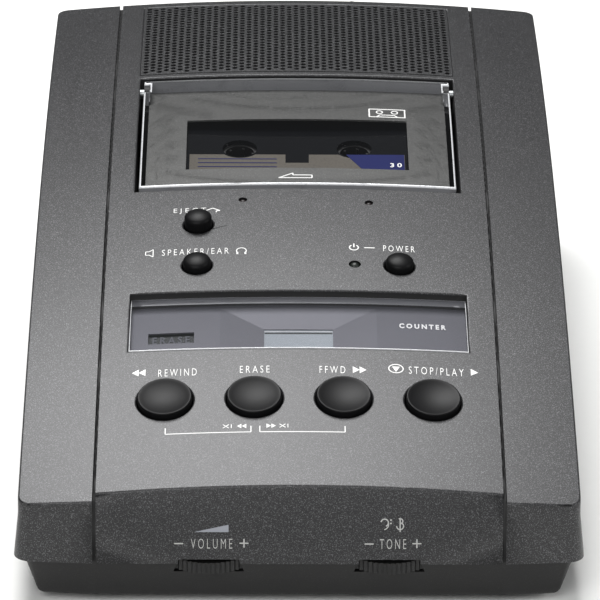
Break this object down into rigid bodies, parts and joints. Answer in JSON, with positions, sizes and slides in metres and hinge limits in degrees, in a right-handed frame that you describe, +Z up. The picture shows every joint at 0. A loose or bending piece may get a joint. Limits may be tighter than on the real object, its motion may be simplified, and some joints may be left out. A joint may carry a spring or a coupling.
{
  "type": "microcassette dictation machine",
  "caption": "Desk-top microcassette dictation machine with a domed sloping deck, hinged cassette lid, speaker grille, display, push keys and front thumb wheels.",
  "frame": {"origin": "middle of the footprint, on the surface that the rubber feet stand on", "axes": "+X to the operator's right, +Y to the rear, +Z up; the low front edge with the thumb wheels faces -Y"},
  "size_m": [0.115, 0.2, 0.059],
  "materials": {
    "case_grey": "fine textured, satin",
    "case_black": "fine textured",
    "button_black": "satin",
    "inner_black": "moulded",
    "rubber": "matt",
    "clear_acrylic": "polished clear",
    "smoke_lens": "polished",
    "printed_grey": "printed film",
    "lcd_glass": "liquid-crystal display",
    "lamp_red": "tinted lens",
    "lamp_green": "tinted lens",
    "board_green": "solder mask",
    "chip_black": "moulded epoxy",
    "capacitor_blue": "printed sleeve",
    "ribbon_white": "flat cable",
    "zinc_steel": "zinc plated",
    "bright_steel": "polished",
    "brass": "turned",
    "paper_cone": "pressed pulp",
    "nylon_white": "moulded",
    "cassette_dark": "satin",
    "label_paper": "printed",
    "tape_brown": "wound oxide tape"
  },
  "bodies": {
    "case": {"upper_case": "case_grey", "lower_case": "case_black", "speaker_grille": "case_grey", "case_screws": "zinc_steel", "rubber_feet": "rubber", "display_lens": "smoke_lens", "display_mask": "printed_grey", "lcd_module": "lcd_glass", "erase_lamp": "lamp_red", "power_lamp": "lamp_green", "status_lamps": "lamp_red", "key_board": "board_green", "key_switches": "inner_black", "main_board": "board_green", "board_chips": "chip_black", "capacitors": "capacitor_blue", "potentiometers": "brass", "ribbon_cable": "ribbon_white", "speaker_frame": "zinc_steel", "speaker_cone": "paper_cone", "speaker_magnet": "zinc_steel", "deck_plate": "zinc_steel", "deck_screws": "zinc_steel", "motor": "zinc_steel", "flywheel_bearing": "brass", "drive_belt": "rubber", "headphone_socket": "inner_black", "foot_control_socket": "inner_black", "dc_inlet": "inner_black"},
    "lid": {"lid_cover": "clear_acrylic", "lid_mask": "printed_grey", "cassette_holder": "inner_black", "lid_hinge_pins": "bright_steel", "cassette_top": "cassette_dark", "cassette_bottom": "cassette_dark", "cassette_label": "label_paper"},
    "supply_reel": {"supply_hub": "nylon_white", "supply_tape": "tape_brown"},
    "takeup_reel": {"takeup_hub": "nylon_white", "takeup_tape": "tape_brown"},
    "latch": {"lid_latch": "inner_black"},
    "flywheel_unit": {"flywheel": "zinc_steel", "capstan": "bright_steel"},
    "motor_drive": {"motor_pulley": "brass"},
    "supply_drive": {"supply_spindle": "nylon_white"},
    "takeup_drive": {"takeup_spindle": "nylon_white"},
    "idler": {"idler_wheel": "rubber"},
    "head_carriage": {"head_plate": "zinc_steel", "tape_head": "bright_steel", "erase_head": "inner_black"},
    "roller": {"pinch_roller": "rubber"},
    "eject": {"eject_button": "button_black"},
    "speaker_switch": {"speaker_button": "button_black"},
    "power_switch": {"power_button": "button_black"},
    "rewind": {"rewind_key": "button_black"},
    "erase": {"erase_key": "button_black"},
    "forward": {"forward_key": "button_black"},
    "play": {"play_key": "button_black"},
    "volume": {"volume_wheel": "button_black"},
    "tone": {"tone_wheel": "button_black"}
  },
  "joints": [
    {"name": "lid_hinge", "type": "hinge", "parent": "case", "child": "lid", "pos_m": [0, 0.04803, 0.05482], "axis": [-1, 0, 0], "range_deg": [0, 42]},
    {"name": "flywheel_spin", "type": "hinge", "parent": "case", "child": "flywheel_unit", "pos_m": [0.0115, 0.04232, 0.02639], "axis": [0, -0.1134, 0.9935], "continuous": true},
    {"name": "motor_spin", "type": "hinge", "parent": "case", "child": "motor_drive", "pos_m": [-0.0224, 0.04043, 0.02618], "axis": [0, -0.1134, 0.9935], "continuous": true},
    {"name": "supply_spin", "type": "hinge", "parent": "case", "child": "supply_drive", "pos_m": [-0.01275, 0.02793, 0.03783], "axis": [0, -0.1134, 0.9935], "continuous": true},
    {"name": "takeup_spin", "type": "hinge", "parent": "case", "child": "takeup_drive", "pos_m": [0.01275, 0.02793, 0.03783], "axis": [0, -0.1134, 0.9935], "continuous": true},
    {"name": "idler_spin", "type": "hinge", "parent": "case", "child": "idler", "pos_m": [0.00772, 0.03552, 0.03769], "axis": [0, -0.1134, 0.9935], "continuous": true},
    {"name": "supply_reel_spin", "type": "hinge", "parent": "lid", "child": "supply_reel", "pos_m": [-0.01275, 0.02697, 0.04628], "axis": [0, -0.1134, 0.9935], "continuous": true},
    {"name": "takeup_reel_spin", "type": "hinge", "parent": "lid", "child": "takeup_reel", "pos_m": [0.01275, 0.02697, 0.04628], "axis": [0, -0.1134, 0.9935], "continuous": true},
    {"name": "head_slide", "type": "slide", "parent": "case", "child": "head_carriage", "axis": [0, -0.9935, -0.1134], "range_m": [0, 0.003], "stiffness_N_per_m": 200, "springref_m": -0.002},
    {"name": "roller_spin", "type": "hinge", "parent": "head_carriage", "child": "roller", "pos_m": [0.0115, 0.04754, 0.04853], "axis": [0, -0.1134, 0.9935], "continuous": true},
    {"name": "eject_press", "type": "slide", "parent": "case", "child": "eject", "axis": [0.0379, 0.184, -0.9822], "range_m": [0, 0.002], "stiffness_N_per_m": 400, "springref_m": -0.001},
    {"name": "speaker_press", "type": "slide", "parent": "case", "child": "speaker_switch", "axis": [0.0381, 0.2105, -0.9769], "range_m": [0, 0.0015], "stiffness_N_per_m": 400, "springref_m": -0.001},
    {"name": "power_press", "type": "slide", "parent": "case", "child": "power_switch", "axis": [-0.0381, 0.2105, -0.9769], "range_m": [0, 0.0015], "stiffness_N_per_m": 400, "springref_m": -0.001},
    {"name": "rewind_press", "type": "slide", "parent": "case", "child": "rewind", "axis": [0.0487, 0.2869, -0.9567], "range_m": [0, 0.0011], "stiffness_N_per_m": 400, "springref_m": -0.001},
    {"name": "erase_press", "type": "slide", "parent": "case", "child": "erase", "axis": [0.0162, 0.2869, -0.9578], "range_m": [0, 0.0011], "stiffness_N_per_m": 400, "springref_m": -0.001},
    {"name": "forward_press", "type": "slide", "parent": "case", "child": "forward", "axis": [-0.0162, 0.2869, -0.9578], "range_m": [0, 0.0011], "stiffness_N_per_m": 400, "springref_m": -0.001},
    {"name": "play_press", "type": "slide", "parent": "case", "child": "play", "axis": [-0.0487, 0.2869, -0.9567], "range_m": [0, 0.0011], "stiffness_N_per_m": 400, "springref_m": -0.001},
    {"name": "latch_pivot", "type": "hinge", "parent": "case", "child": "latch", "pos_m": [-0.0214, -0.00203, 0.03491], "axis": [1, 0, 0], "range_deg": [0, 15]},
    {"name": "volume_turn", "type": "hinge", "parent": "case", "child": "volume", "pos_m": [-0.0182, -0.0891, 0.0102], "axis": [0, 0, 1], "range_deg": [-135, 135]},
    {"name": "tone_turn", "type": "hinge", "parent": "case", "child": "tone", "pos_m": [0.0182, -0.0891, 0.0102], "axis": [0, 0, 1], "range_deg": [-135, 135]}
  ],
  "couplings": [
    {"joint": "motor_spin", "follows": "flywheel_spin", "ratio": 5.8},
    {"joint": "idler_spin", "follows": "flywheel_spin", "ratio": -0.83333},
    {"joint": "takeup_spin", "follows": "flywheel_spin", "ratio": 0.55556},
    {"joint": "takeup_reel_spin", "follows": "flywheel_spin", "ratio": 0.55556},
    {"joint": "supply_spin", "follows": "flywheel_spin", "ratio": 0.37756},
    {"joint": "supply_reel_spin", "follows": "flywheel_spin", "ratio": 0.37756},
    {"joint": "roller_spin", "follows": "flywheel_spin", "ratio": -0.28571},
    {"joint": "latch_pivot", "follows": "eject_press", "rad_per_m": 128}
  ]
}
